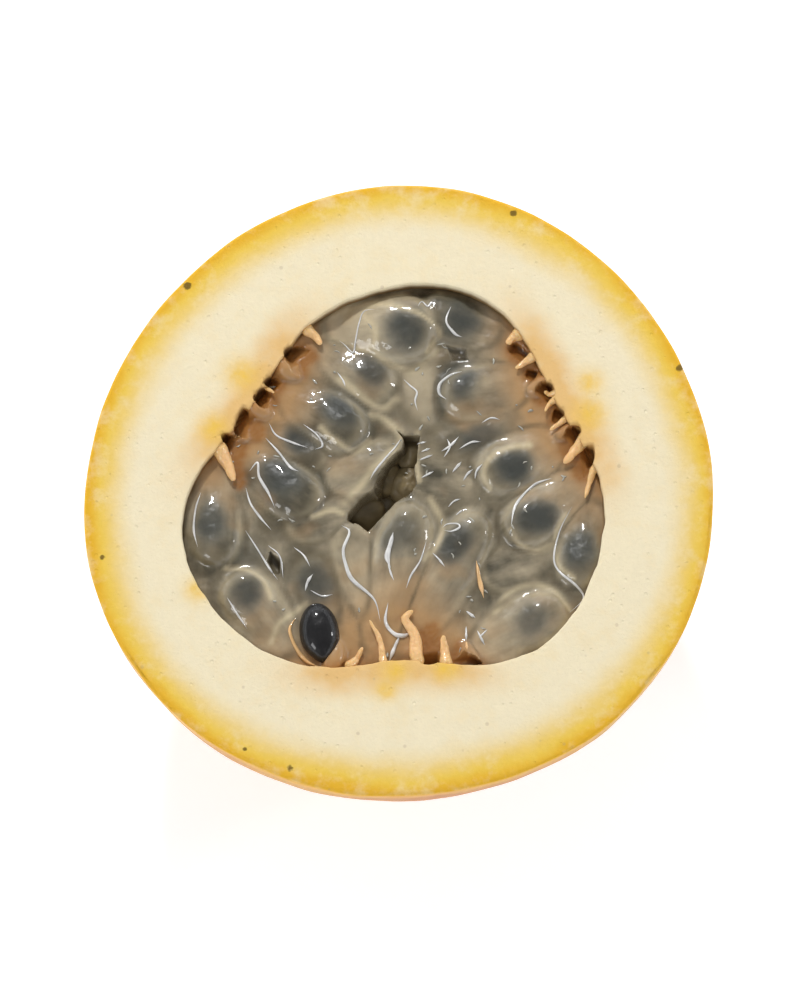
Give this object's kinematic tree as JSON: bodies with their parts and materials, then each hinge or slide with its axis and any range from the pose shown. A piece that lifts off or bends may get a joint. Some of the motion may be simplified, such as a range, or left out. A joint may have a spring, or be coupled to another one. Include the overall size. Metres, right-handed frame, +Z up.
{
  "type": "passion fruit half",
  "caption": "Round fruit cut across: thick pale rind with a golden skin, filled with grey translucent seed sacs.",
  "frame": {"origin": "middle of the bounding box's lowest face, in the resting spot at the blossom end", "axes": "+Z up through the cut face, -Y towards the side nearest the viewer, +X to the viewer's right"},
  "size_m": [0.0742, 0.0734, 0.0466],
  "materials": {
    "rind": "waxy golden skin over dry, spongy, cream-white pith",
    "pulp": "wet, translucent grey jelly round dark seeds"
  },
  "bodies": {
    "root": {"rind": "rind", "pulp": "pulp"}
  },
  "joints": []
}
